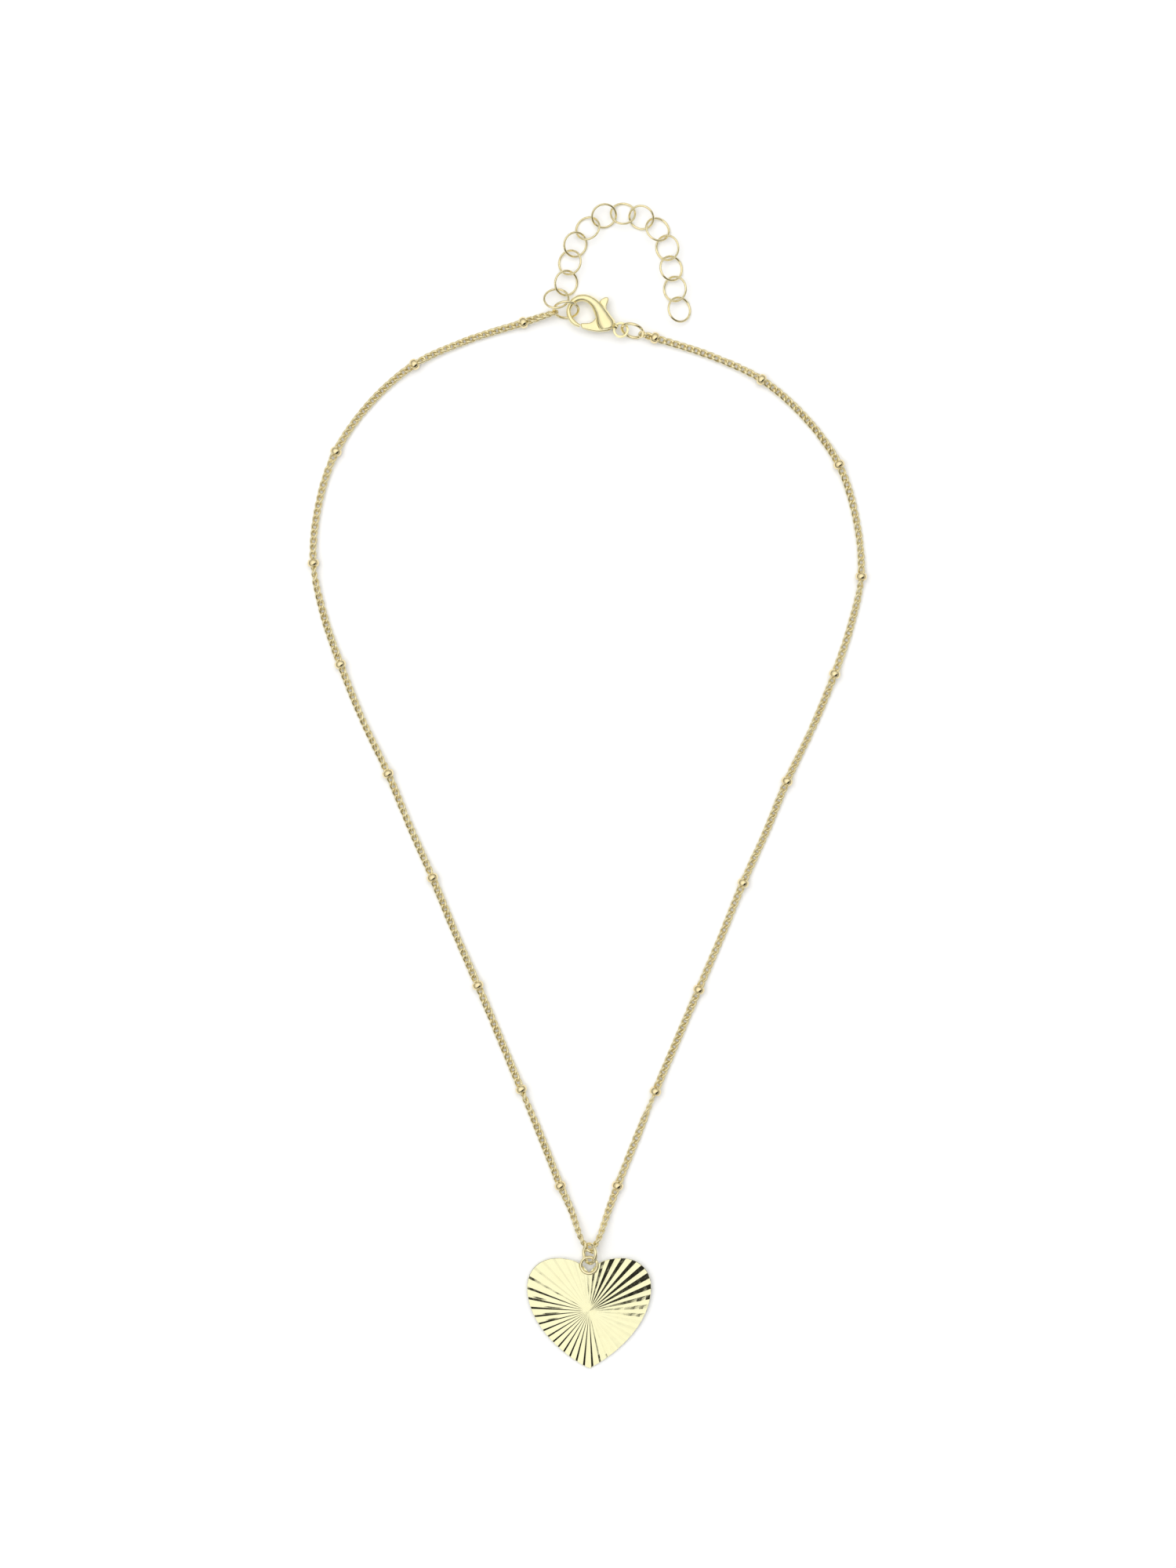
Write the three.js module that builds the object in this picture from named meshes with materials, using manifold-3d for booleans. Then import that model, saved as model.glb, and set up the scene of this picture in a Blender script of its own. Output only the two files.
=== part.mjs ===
// A fine necklace lying flat and fastened: a beaded curb chain, a heart pendant on a jump ring,
// a lobster clasp and an extender of round rings.
// Millimetres. +Z up from the table, +X to the wearer's left, +Y from the heart towards the clasp.
// The origin is on the table, at the middle of the necklace's outline.
import * as THREE from 'three';
import { mergeVertices } from 'three/addons/utils/BufferGeometryUtils.js';
import Module from 'manifold-3d';

const wasm = await Module();
wasm.setup();

// ---- driving dimensions -------------------------------------------------------------------
const chainWidth = 1.2; // outer width of the curb chain, drawn as a plain round cord
const frontWidth = 0.7; // the front run, which lies on edge to pass through the pendant ring
const beadDiameter = 2.15;
const beadLength = 1.3;
const beadFace = 1.3; // diameter of a bead's flat ends
const beadRim = 0.3; // length of the bead's cylindrical rim
const meetGap = 0.3; // between a cord's end and the piece it meets
const swingGap = 1.2; // the same, where the chain half swings
const heartThickness = 0.5;
const heartTilt = THREE.MathUtils.degToRad(2.6); // the eyelet's end is held up by its ring
const eyelet = { radius: 1.52, wire: 0.65 };
const pendantRing = { radius: 1.77, wire: 0.75 };
const claspRing = { radius: 2.0, wire: 0.62 };
const endRing = { radius: 2.26, wire: 0.54 };
const extenderRing = { radius: 2.25, wire: 0.45 };
const extenderRoll = 28; // degrees that each extender ring leans, to one side and the other
const claspThickness = 3.2;
const hookThickness = 1.1;
const tailThickness = 0.8;
const leverThickness = 1.0;
const leverClearance = 0.1; // at each side of the lever
const rivetRadius = 0.4;
const rivetFit = 0.03; // rivet in the body
const leverFit = 0.06; // lever on the rivet
const rivetEndCover = 0.45; // metal left in front of the blind rivet hole
const springWidth = 0.8;
const edgeRound = { hook: 0.3, body: 0.45, tail: 0.2 };

// ---- materials ----------------------------------------------------------------------------
function gold(name, color, roughness) {
  const material = new THREE.MeshStandardMaterial({ color, roughness, metalness: 1 });
  material.name = name;
  return material;
}
const chainGold = gold('chain_gold', 0xe6d59a, 0.25);
const beadGold = gold('bead_gold', 0xeadca6, 0.15);
const cutGold = gold('cut_gold', 0xf0e4b4, 0.12);
const wireGold = gold('wire_gold', 0xe8d89e, 0.2);
const castGold = gold('cast_gold', 0xece0a8, 0.22);
const springSteel = gold('spring_steel', 0xb9b9bd, 0.3);

// ---- helpers ------------------------------------------------------------------------------
const necklace = new THREE.Group();
necklace.name = 'pendant_necklace';

function addPiece(name, geometry, material, parent = necklace) {
  const mesh = new THREE.Mesh(geometry, material);
  mesh.name = name;
  parent.add(mesh);
  return mesh;
}

function toSolid(geometry) {
  const bare = geometry.clone();
  bare.deleteAttribute('normal');
  bare.deleteAttribute('uv');
  const merged = mergeVertices(bare, 1e-4);
  return new wasm.Manifold(
    new wasm.Mesh({
      numProp: 3,
      vertProperties: Float32Array.from(merged.attributes.position.array),
      triVerts: Uint32Array.from(merged.index.array),
    }),
  );
}

function toGeometry(solid) {
  const mesh = solid.getMesh();
  const geometry = new THREE.BufferGeometry();
  geometry.setAttribute('position', new THREE.BufferAttribute(mesh.vertProperties, 3));
  geometry.setIndex(new THREE.BufferAttribute(mesh.triVerts, 1));
  geometry.computeVertexNormals();
  return geometry;
}

function regularPolygon(radius, sides) {
  const corners = Array.from({ length: sides }, (_, i) => {
    const angle = (2 * Math.PI * i) / sides;
    return new THREE.Vector2(radius * Math.cos(angle), radius * Math.sin(angle));
  });
  return new THREE.Shape(corners);
}

// A flat plate with rounded-over edges, centred on z = 0.
function plate(shape, thickness, edge = 0) {
  const geometry = new THREE.ExtrudeGeometry(shape, {
    depth: thickness - 2 * edge,
    bevelEnabled: edge > 0,
    bevelThickness: edge,
    bevelSize: edge,
    bevelOffset: -edge,
    bevelSegments: 2,
    curveSegments: 10,
  });
  geometry.translate(0, 0, edge - thickness / 2);
  return geometry;
}

// A round pin along Z from z = low to z = high.
function pin(radius, low, high) {
  const geometry = new THREE.CylinderGeometry(radius, radius, high - low, 16);
  geometry.rotateX(Math.PI / 2);
  geometry.translate(0, 0, (low + high) / 2);
  return geometry;
}

// A wire ring. `heading` is its long direction on the table, `roll` leans it about that
// direction, and `pitch` lifts that direction off the table, all in degrees.
function addRing(name, size, centre, { heading, roll, pitch = 0 }) {
  const geometry = new THREE.TorusGeometry(size.radius, size.wire / 2, 6, 24);
  const ring = addPiece(name, geometry, wireGold);
  ring.rotation.order = 'ZYX';
  ring.rotation.set(
    THREE.MathUtils.degToRad(roll),
    THREE.MathUtils.degToRad(-pitch),
    THREE.MathUtils.degToRad(heading),
  );
  ring.position.set(...centre);
  return ring;
}

// The height of a leaning ring's middle when its low edge rests on the table.
function restingHeight(size, roll) {
  return size.radius * Math.sin(THREE.MathUtils.degToRad(Math.abs(roll))) + size.wire / 2;
}

// ---- beads and chain ----------------------------------------------------------------------
const beadRadius = beadDiameter / 2;
const chainRest = chainWidth / 2; // height of the chain's middle where it lies on the table

function beadGeometry() {
  const profile = [
    new THREE.Vector2(0, -beadLength / 2),
    new THREE.Vector2(beadFace / 2, -beadLength / 2),
    new THREE.Vector2(beadRadius, -beadRim / 2),
    new THREE.Vector2(beadRadius, beadRim / 2),
    new THREE.Vector2(beadFace / 2, beadLength / 2),
    new THREE.Vector2(0, beadLength / 2),
  ];
  return new THREE.LatheGeometry(profile, 12);
}

function placedBead(curve, u) {
  const at = curve.getPoint(u);
  const along = curve.getTangent(u);
  const geometry = beadGeometry();
  const turn = new THREE.Quaternion().setFromUnitVectors(new THREE.Vector3(0, 1, 0), along);
  geometry.applyQuaternion(turn);
  geometry.translate(at.x, at.y, beadRadius);
  return geometry;
}

// The part of a flat route between u0 and u1, drooping from bead height to the table and back.
class LyingChain extends THREE.Curve {
  constructor(route, from, to) {
    super();
    this.route = route;
    this.from = from;
    this.to = to;
  }

  getPoint(t) {
    const point = this.route.getPoint(THREE.MathUtils.lerp(this.from, this.to, t));
    const droop = Math.abs(2 * t - 1) ** 3;
    point.z = chainRest + (beadRadius - chainRest) * droop;
    return point;
  }
}

function cord(curve, steps, width = chainWidth) {
  return new THREE.ExtrudeGeometry(regularPolygon(width / 2, 8), {
    steps,
    extrudePath: curve,
    bevelEnabled: false,
  });
}

// Each half of the chain, from its first bead near the clasp to its last bead near the heart.
// Odd places in the list are beads, even ones the middle of the chain between two beads.
const leftRoute = [
  [-11.8, 85.5], [-22.1, 82.3], [-31.9, 77.8], [-40.1, 70.7], [-46.4, 61.7], [-49.7, 51.7], [-50.6, 41.1],
  [-48.7, 31.5], [-45.6, 22.4], [-41.5, 12.1], [-36.8, 2.2], [-32.8, -7.5], [-28.6, -17.0], [-24.5, -27.0],
  [-20.2, -36.9], [-16.2, -46.5], [-12.2, -56.1], [-8.5, -65.0], [-5.0, -73.9],
];
const rightRoute = [
  [12.5, 82.7], [22.6, 79.5], [32.2, 75.0], [40.3, 68.0], [46.5, 59.3], [49.7, 49.2], [50.6, 38.6],
  [48.7, 29.5], [45.7, 20.6], [41.6, 10.6], [36.9, 0.8], [33.0, -8.7], [28.8, -18.0], [24.8, -27.9],
  [20.6, -37.7], [16.6, -47.1], [12.6, -56.5], [9.1, -65.2], [5.6, -73.9],
];

function addChainHalf(side, places) {
  const route = new THREE.CatmullRomCurve3(places.map(([x, y]) => new THREE.Vector3(x, y, 0)));
  const beadCount = (places.length + 1) / 2;
  const perStretch = 1 / (beadCount - 1);
  for (let i = 0; i < beadCount; i += 1) {
    const number = String(i + 1).padStart(2, '0');
    const bead = placedBead(route, i * perStretch);
    if (i > 0) {
      addPiece(`bead_${side}_${number}`, bead, beadGold);
    }
    if (i === beadCount - 1) {
      break;
    }
    const start = route.getPoint(i * perStretch);
    const length = start.distanceTo(route.getPoint((i + 1) * perStretch));
    const trim = ((beadLength / 2 + meetGap) / length) * perStretch;
    const from = i * perStretch + (i > 0 ? trim : 0);
    const stretch = cord(new LyingChain(route, from, (i + 1) * perStretch - trim), 4);
    if (i > 0) {
      addPiece(`chain_${side}_${number}`, stretch, chainGold);
    } else {
      // the first bead is one solid with the chain after it
      const joined = toSolid(bead).add(toSolid(stretch));
      addPiece(`chain_${side}_${number}`, toGeometry(joined), chainGold);
    }
  }
  return route;
}
const leftChain = addChainHalf('left', leftRoute);
const rightChain = addChainHalf('right', rightRoute);

// ---- rings that join the chain, clasp and heart -------------------------------------------
const pendantRingRoll = -52;
const pendantRingAt = [0.45, -86.35];
addRing('pendant_jump_ring', pendantRing, [...pendantRingAt, restingHeight(pendantRing, pendantRingRoll)], {
  heading: 90,
  roll: pendantRingRoll,
});

const endRingPose = { heading: -2.1, roll: 54.5, pitch: -3.6 };
const endRingRise = 0.05; // the first extender ring holds its low edge just off the table
const endRingHeight = restingHeight(endRing, endRingPose.roll) + endRingRise;
const endRingAt = new THREE.Vector3(-3.9, 87.75, endRingHeight);
addRing('end_ring', endRing, endRingAt.toArray(), endRingPose);

// ---- the chain's two short runs -----------------------------------------------------------
// The front run hangs from the last bead of each half and bends through the pendant ring.
const ringInnerTop = pendantRingAt[1] + pendantRing.radius - pendantRing.wire / 2;
const apexDrop = 0.5; // play between the bend and the ring's wire
const apexShift = 0.05; // the bend lies a little to one side of the ring's middle
const apex = new THREE.Vector3(
  pendantRingAt[0] + apexShift,
  ringInnerTop - frontWidth / 2 - apexDrop,
  restingHeight(pendantRing, pendantRingRoll), // the ring holds the bend off the table
);
const lowPoint = { reach: 3.4, y: -78.6, height: 0.75 }; // of each side of the V, where it lies lowest
const bendHalfWidth = 2.3;
const bendRise = 1.1;
const frontSteps = 14;

function endOf(route, side) {
  const along = route.getTangent(1);
  const end = route.getPoint(1).addScaledVector(along, beadLength / 2 + meetGap);
  end.z = beadRadius;
  const low = new THREE.Vector3(lowPoint.reach * side + apex.x, lowPoint.y, lowPoint.height);
  return [end, low];
}
const [leftEnd, leftLow] = endOf(leftChain, -1);
const [rightEnd, rightLow] = endOf(rightChain, 1);
const frontCurve = new THREE.CatmullRomCurve3([
  leftEnd,
  leftLow,
  new THREE.Vector3(apex.x - bendHalfWidth, apex.y + bendRise, apex.z),
  apex,
  new THREE.Vector3(apex.x + bendHalfWidth, apex.y + bendRise, apex.z),
  rightLow,
  rightEnd,
]);
addPiece('chain_front', cord(frontCurve, frontSteps, frontWidth), chainGold);

// The last run of the left half reaches the end ring.
const endRingReach = endRing.radius + endRing.wire / 2 + meetGap;
const endRingSide = new THREE.Vector3(-1, 0, 0)
  .applyAxisAngle(new THREE.Vector3(0, 0, 1), THREE.MathUtils.degToRad(endRingPose.heading));
const firstBead = leftChain.getPoint(0).setZ(beadRadius);
const ringEnd = endRingAt.clone().addScaledVector(endRingSide, endRingReach);
const towardsBead = firstBead.clone().sub(ringEnd).normalize();
const beadEnd = firstBead.clone().addScaledVector(towardsBead, -(beadLength / 2 + swingGap));
addPiece('chain_left_end', cord(new THREE.LineCurve3(ringEnd, beadEnd), 1), chainGold);

// ---- heart --------------------------------------------------------------------------------
const heartHalf = 11.45; // half the heart's width
const heartTip = -10.7;
const heartTop = 9.8;
const heartAt = new THREE.Vector3(0.35, -97.05, 0);
const heartNotch = heartTop - 2.8;
const heartWidest = 4.4; // height at which the heart is widest
const eyeletHeight = 8.55; // of the eyelet's middle above the heart's middle

// Half the heart as three curves from the tip up to the notch: two handles and an end each.
const heartCurves = [
  [[0.56 * heartHalf, -7.3], [heartHalf, -1.5], [heartHalf, heartWidest]],
  [[heartHalf, 7.6], [0.8 * heartHalf, heartTop], [0.52 * heartHalf, heartTop]],
  [[0.28 * heartHalf, heartTop], [1.2, heartNotch + 1.9], [0, heartNotch]],
];

function heartShape() {
  const shape = new THREE.Shape();
  shape.moveTo(0, heartTip);
  heartCurves.forEach((curve) => shape.bezierCurveTo(...curve.flat()));
  // the other half runs back down through the same places, mirrored
  const places = [[0, heartTip], ...heartCurves.flat()].reverse();
  const mirrored = places.map(([x, y]) => [-x, y]);
  for (let i = 1; i < mirrored.length; i += 3) {
    shape.bezierCurveTo(...mirrored.slice(i, i + 3).flat());
  }
  return shape;
}

const heart = new THREE.Group();
heart.position.copy(heartAt);
heart.position.z = -heartTip * Math.sin(heartTilt);
heart.rotation.x = heartTilt;
necklace.add(heart);
const disc = plate(heartShape(), heartThickness);
disc.translate(0, 0, heartThickness / 2);
addPiece('heart_disc', disc, cutGold, heart);
const solderGap = 0.02;
const eyeletRing = new THREE.TorusGeometry(eyelet.radius, eyelet.wire / 2, 6, 24);
eyeletRing.translate(0, eyeletHeight, heartThickness + eyelet.wire / 2 + solderGap);
addPiece('heart_eyelet', eyeletRing, wireGold, heart);

// ---- lobster clasp ------------------------------------------------------------------------
// Its group stands on the rivet's axis, at half the body's thickness.
const clasp = new THREE.Group();
clasp.position.set(2.45, 85.85, claspThickness / 2);
necklace.add(clasp);

const hookOuter = { x: -3.32, y: 1.75, radius: 3.1, start: 0.28 * Math.PI };
const hookInner = { x: -3.3, y: 1.5, radius: 2.1, start: 0.05 };
const hookRoot = [[0.6, 2.6], [-0.2, 1.6], [-1.2, 1.2]];
const tipAngle = THREE.MathUtils.degToRad(258);
const tailEye = { x: 3.75, y: -1.75, radius: 1.55, hole: 1.0 };

function outline(points) {
  return new THREE.Shape(points.map(([x, y]) => new THREE.Vector2(x, y)));
}

// The hook is a crescent between two arcs; three corners close it inside the body.
function hookShape() {
  const shape = new THREE.Shape();
  shape.absarc(hookOuter.x, hookOuter.y, hookOuter.radius, tipAngle, hookOuter.start, true);
  hookRoot.forEach(([x, y]) => shape.lineTo(x, y));
  shape.absarc(hookInner.x, hookInner.y, hookInner.radius, hookInner.start, tipAngle, false);
  return shape;
}

const bodyOutline = [
  [-1.45, 2.2], [-1.2, 1.0], [-1.26, 0.0], [-1.05, -0.6], [-0.6, -1.27], [0.0, -1.7], [1.93, -1.56],
  [2.67, -0.97], [2.9, -0.6], [0.4, 2.85],
];
const neckOutline = [[2.2, -0.1], [2.1, -1.45], [3.2, -2.3], [3.5, -0.6]];
const leverOutline = [
  [-3.65, -0.6], [-3.4, -1.45], [-2.96, -1.63], [-1.48, -1.97], [-0.36, -2.11], [1.2, -2.0], [1.7, -1.85],
  [1.0, -0.5], [1.05, 0.5], [1.19, 1.85], [1.12, 2.5], [1.41, 3.4], [1.48, 4.0], [1.19, 4.3], [0.31, 4.0],
  [-0.14, 3.5], [-0.05, 2.6], [-0.12, 1.0], [-0.9, 0.45], [-1.45, -0.2], [-2.2, -0.5],
];
// Room inside the body for the lever through its whole travel.
const slotOutline = [
  [-1.7, -2.6], [1.9, -2.6], [2.0, -1.7], [1.2, -0.45], [1.3, -0.4], [1.75, -0.35], [2.6, 0.9], [3.4, 2.0],
  [2.4, 4.8], [-0.28, 4.8], [-0.28, 1.15], [-0.75, 1.1], [-1.6, 0.85],
];
const springOutline = [[1.38, -0.27], [1.6, -0.25], [2.12, 0.5], [2.0, 0.62], [1.86, 0.5], [1.88, 0.42]];

const blindTop = claspThickness / 2 - rivetEndCover;
const backFace = -claspThickness / 2;

function claspBody() {
  const eyeDisc = new THREE.Shape();
  eyeDisc.absarc(tailEye.x, tailEye.y, tailEye.radius, 0, 2 * Math.PI, false);
  const eyeHole = pin(tailEye.hole, -tailThickness, tailThickness);
  eyeHole.translate(tailEye.x, tailEye.y, 0);
  const slot = plate(outline(slotOutline), leverThickness + 2 * leverClearance);
  const rivetHole = pin(rivetRadius + rivetFit, backFace - 1, blindTop + rivetFit);
  return toSolid(plate(hookShape(), hookThickness, edgeRound.hook))
    .add(toSolid(plate(outline(bodyOutline), claspThickness, edgeRound.body)))
    .add(toSolid(plate(outline(neckOutline), tailThickness)))
    .add(toSolid(plate(eyeDisc, tailThickness, edgeRound.tail)))
    .subtract(toSolid(eyeHole))
    .subtract(toSolid(slot))
    .subtract(toSolid(rivetHole));
}

function claspLever() {
  const bore = pin(rivetRadius + leverFit, -leverThickness, leverThickness);
  return toSolid(plate(outline(leverOutline), leverThickness)).subtract(toSolid(bore));
}

addPiece('clasp_body', toGeometry(claspBody()), castGold, clasp);
addPiece('clasp_lever', toGeometry(claspLever()), castGold, clasp);
addPiece('clasp_rivet', pin(rivetRadius, backFace + rivetFit, blindTop - rivetFit), castGold, clasp);
addPiece('clasp_spring', plate(outline(springOutline), springWidth), springSteel, clasp);

// The clasp's jump ring hangs in the tail eye and leans like the others.
const claspRingPose = { heading: -11, roll: 59, pitch: 10 };
const eyePlay = { x: 0.5, y: 0.2 }; // between the ring's wire and the eye's wall
const claspRingAt = new THREE.Vector3(tailEye.x, tailEye.y, 0).add(clasp.position);
claspRingAt.x += tailEye.hole - claspRing.wire / 2 - eyePlay.x;
claspRingAt.y += eyePlay.y;
claspRingAt.add(
  new THREE.Vector3(claspRing.radius, 0, 0)
    .applyAxisAngle(new THREE.Vector3(0, 0, 1), THREE.MathUtils.degToRad(claspRingPose.heading)),
);
claspRingAt.z = restingHeight(claspRing, claspRingPose.roll);
addRing('clasp_jump_ring', claspRing, claspRingAt.toArray(), claspRingPose);

// ---- extender -----------------------------------------------------------------------------
// The middles of its rings, from the end ring outwards.
const extenderMiddles = [
  [-5.7, 89.8], [-3.9, 92.8], [-3.2, 96.6], [-2.2, 99.9], [0.1, 102.9], [3.1, 105.2], [6.6, 105.6],
  [10.0, 104.9], [13.0, 102.7], [14.8, 99.3], [15.5, 95.5], [16.2, 91.7], [17.0, 87.9],
];
const hungRing = { height: 2.45, heading: 78, roll: -9, pitch: -33 }; // the first ring hangs on the end ring

extenderMiddles.forEach(([x, y], i) => {
  const name = `extender_link_${String(i + 1).padStart(2, '0')}`;
  if (i === 0) {
    addRing(name, extenderRing, [x, y, hungRing.height], hungRing);
    return;
  }
  const [backX, backY] = extenderMiddles[i - 1];
  const [nextX, nextY] = extenderMiddles[Math.min(i + 1, extenderMiddles.length - 1)];
  const heading = THREE.MathUtils.radToDeg(Math.atan2(nextY - backY, nextX - backX));
  const roll = i % 2 ? extenderRoll : -extenderRoll;
  addRing(name, extenderRing, [x, y, restingHeight(extenderRing, roll)], { heading, roll });
});

export default necklace;
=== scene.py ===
# %% [markdown]
# # A beaded necklace with a sunburst heart
# A lesson in building fine jewellery in Blender. The necklace is a curb chain with small soldered
# beads, a stamped heart on a jump ring, a lobster clasp and an extender of round rings. A frame of
# plain solids already fixes every size, place and joint, so each step here puts finished metalwork
# where a plain solid stands and lets it ride on the same moving body.

# %% Start from the fixed frame
import math
import random

import bmesh
import bpy
import numpy as np
from mathutils import Matrix, Vector


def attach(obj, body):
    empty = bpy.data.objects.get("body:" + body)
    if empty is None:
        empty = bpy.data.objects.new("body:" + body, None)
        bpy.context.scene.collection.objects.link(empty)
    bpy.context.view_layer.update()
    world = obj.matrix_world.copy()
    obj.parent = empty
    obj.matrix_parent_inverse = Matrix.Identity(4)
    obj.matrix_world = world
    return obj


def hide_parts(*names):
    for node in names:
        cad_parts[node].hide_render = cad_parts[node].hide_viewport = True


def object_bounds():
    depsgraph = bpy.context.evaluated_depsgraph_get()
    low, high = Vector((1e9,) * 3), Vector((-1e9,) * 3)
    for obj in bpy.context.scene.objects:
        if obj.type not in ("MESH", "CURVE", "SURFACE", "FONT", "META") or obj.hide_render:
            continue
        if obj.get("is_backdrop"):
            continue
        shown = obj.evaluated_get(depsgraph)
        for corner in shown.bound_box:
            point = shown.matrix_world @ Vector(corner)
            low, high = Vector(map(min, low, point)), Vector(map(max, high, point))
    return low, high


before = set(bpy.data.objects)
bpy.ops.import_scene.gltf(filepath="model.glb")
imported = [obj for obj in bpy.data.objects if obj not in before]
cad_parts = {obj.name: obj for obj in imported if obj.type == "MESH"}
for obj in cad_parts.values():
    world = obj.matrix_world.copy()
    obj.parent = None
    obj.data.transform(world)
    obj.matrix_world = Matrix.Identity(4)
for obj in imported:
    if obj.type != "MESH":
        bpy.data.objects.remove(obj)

frame_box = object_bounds()
MM = 0.001

# %% [markdown]
# ## The camera
# A necklace is drawn out flat on a table and looked at from straight above, with a long lens so that
# the heart and the clasp, far apart, are both seen square on. The lens could be orthographic, but a
# real lens a long way off keeps the faint difference in what each polished part reflects.

# %% Camera
VIEW_MIDDLE = (0.145 * MM, 0.29 * MM)
VIEW_HEIGHT = 290 * MM
LENS = 100
SENSOR = 36
camera_data = bpy.data.cameras.new("camera")
camera_data.lens = LENS
camera_data.sensor_width = SENSOR
camera = bpy.data.objects.new("camera", camera_data)
camera_distance = VIEW_HEIGHT * LENS / SENSOR
camera.location = (*VIEW_MIDDLE, camera_distance)
bpy.context.collection.objects.link(camera)
bpy.context.scene.camera = camera
print(f"camera {camera_distance * 1000:.0f} mm above the table")

# %% [markdown]
# ## Gold
# Every part is brass with a thin plating of pale yellow gold, so there is one kind of metal with
# several finishes: polished wire, a cast and tumbled clasp, a cut and burnished heart. Plain metal in
# Blender is one shader with metallic at 1. What makes it read as plating is small and slow: a tint
# that drifts warmer in places, a roughness that is never even, and hairline wear that only the
# reflections show. One function makes them all, and each finish sets its own strengths.

# %% A function for every gold finish
def link(tree, out_node, out_name, in_node, in_name):
    tree.links.new(out_node.outputs[out_name], in_node.inputs[in_name])


def noise(tree, coordinates, size_mm, detail=3.0, stretch=(1, 1, 1)):
    """A noise whose features are size_mm across, pulled out along an axis by stretch."""
    mapping = tree.nodes.new("ShaderNodeMapping")
    mapping.inputs["Scale"].default_value = [1 / (size_mm * MM * s) for s in stretch]
    tree.links.new(coordinates, mapping.inputs["Vector"])
    texture = tree.nodes.new("ShaderNodeTexNoise")
    texture.inputs["Scale"].default_value = 1.0
    texture.inputs["Detail"].default_value = detail
    link(tree, mapping, "Vector", texture, "Vector")
    return texture


def gold_finish(name, colour, warm, roughness, wear_um, wear_mm=0.12):
    """Plated metal: colour drifts to warm, roughness is a low and a high value, wear is in microns."""
    material = bpy.data.materials.new(name)
    material.use_nodes = True
    tree = material.node_tree
    shader = tree.nodes["Principled BSDF"]
    shader.inputs["Metallic"].default_value = 1.0
    coordinates = tree.nodes.new("ShaderNodeTexCoord").outputs["Object"]

    drift = noise(tree, coordinates, 3.0)
    tint = tree.nodes.new("ShaderNodeMix")
    tint.data_type = "RGBA"
    tint.inputs["A"].default_value = (*colour, 1)
    tint.inputs["B"].default_value = (*warm, 1)
    link(tree, drift, "Fac", tint, "Factor")
    link(tree, tint, "Result", shader, "Base Color")

    polish = noise(tree, coordinates, 0.6, detail=5.0)
    spread = tree.nodes.new("ShaderNodeMapRange")
    spread.inputs["From Min"].default_value = 0.3
    spread.inputs["From Max"].default_value = 0.7
    spread.inputs["To Min"].default_value = roughness[0]
    spread.inputs["To Max"].default_value = roughness[1]
    link(tree, polish, "Fac", spread, "Value")
    link(tree, spread, "Result", shader, "Roughness")

    hairlines = noise(tree, coordinates, wear_mm, detail=4.0, stretch=(1, 6, 2))
    bump = tree.nodes.new("ShaderNodeBump")
    bump.inputs["Strength"].default_value = 0.6
    bump.inputs["Distance"].default_value = wear_um * 1e-6
    link(tree, hairlines, "Fac", bump, "Height")
    link(tree, bump, "Normal", shader, "Normal")
    return material


PALE_GOLD = (0.95, 0.87, 0.56)
WARM_GOLD = (0.90, 0.76, 0.43)
BEAD_GOLD = (0.90, 0.79, 0.48)
DEEP_BEAD_GOLD = (0.85, 0.69, 0.38)
WIRE_GOLD = (0.95, 0.88, 0.57)
CAST_GOLD = (0.95, 0.88, 0.55)
WARM_CAST_GOLD = (0.90, 0.78, 0.42)
chain_gold = gold_finish("chain_gold", PALE_GOLD, WARM_GOLD, roughness=(0.16, 0.30), wear_um=1.5)
bead_gold = gold_finish("bead_gold", BEAD_GOLD, DEEP_BEAD_GOLD, roughness=(0.08, 0.20), wear_um=1.5)
wire_gold = gold_finish("wire_gold", WIRE_GOLD, WARM_GOLD, roughness=(0.10, 0.22), wear_um=1.2)
cast_gold = gold_finish("cast_gold", CAST_GOLD, WARM_CAST_GOLD, roughness=(0.12, 0.24), wear_um=4.0,
                        wear_mm=0.35)
print("gold finishes:", [m.name for m in bpy.data.materials if "gold" in m.name])

# %% [markdown]
# ## Routes
# The chain lies where a hand left it, so its route can't be worked out; it is a list of places, with
# every second one a bead. A smooth curve through them is what the links follow. Blender's own curves
# would do, but links must be spaced by length along the chain, and a short function that returns many
# close points gives both the shape and the length.

# %% A smooth line through chosen places
STEPS = 24  # close points from each place to the next
SHORTEST = 1e-9


def smooth_line(places, steps=STEPS):
    """Points of a centripetal curve through the places, steps of them from each place to the next."""
    places = [Vector(p) for p in places]
    padded = [2 * places[0] - places[1], *places, 2 * places[-1] - places[-2]]
    line = []
    for before, start, end, after in zip(padded, padded[1:], padded[2:], padded[3:]):
        pairs = ((before, start), (start, end), (end, after))
        s1, s2, s3 = [max((b - a).length, SHORTEST) ** 0.5 for a, b in pairs]
        leaving = (start - before) / s1 - (end - before) / (s1 + s2) + (end - start) / s2
        arriving = (end - start) / s2 - (after - start) / (s2 + s3) + (after - end) / s3
        leaving *= s2
        arriving *= s2
        for i in range(steps):
            u = i / steps
            a = 2 * u**3 - 3 * u**2 + 1
            b = u**3 - 2 * u**2 + u
            c = -2 * u**3 + 3 * u**2
            d = u**3 - u**2
            line.append(a * start + b * leaving + c * end + d * arriving)
    line.append(places[-1])
    return line


DIRECTION_REACH = 0.3 * MM


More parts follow.
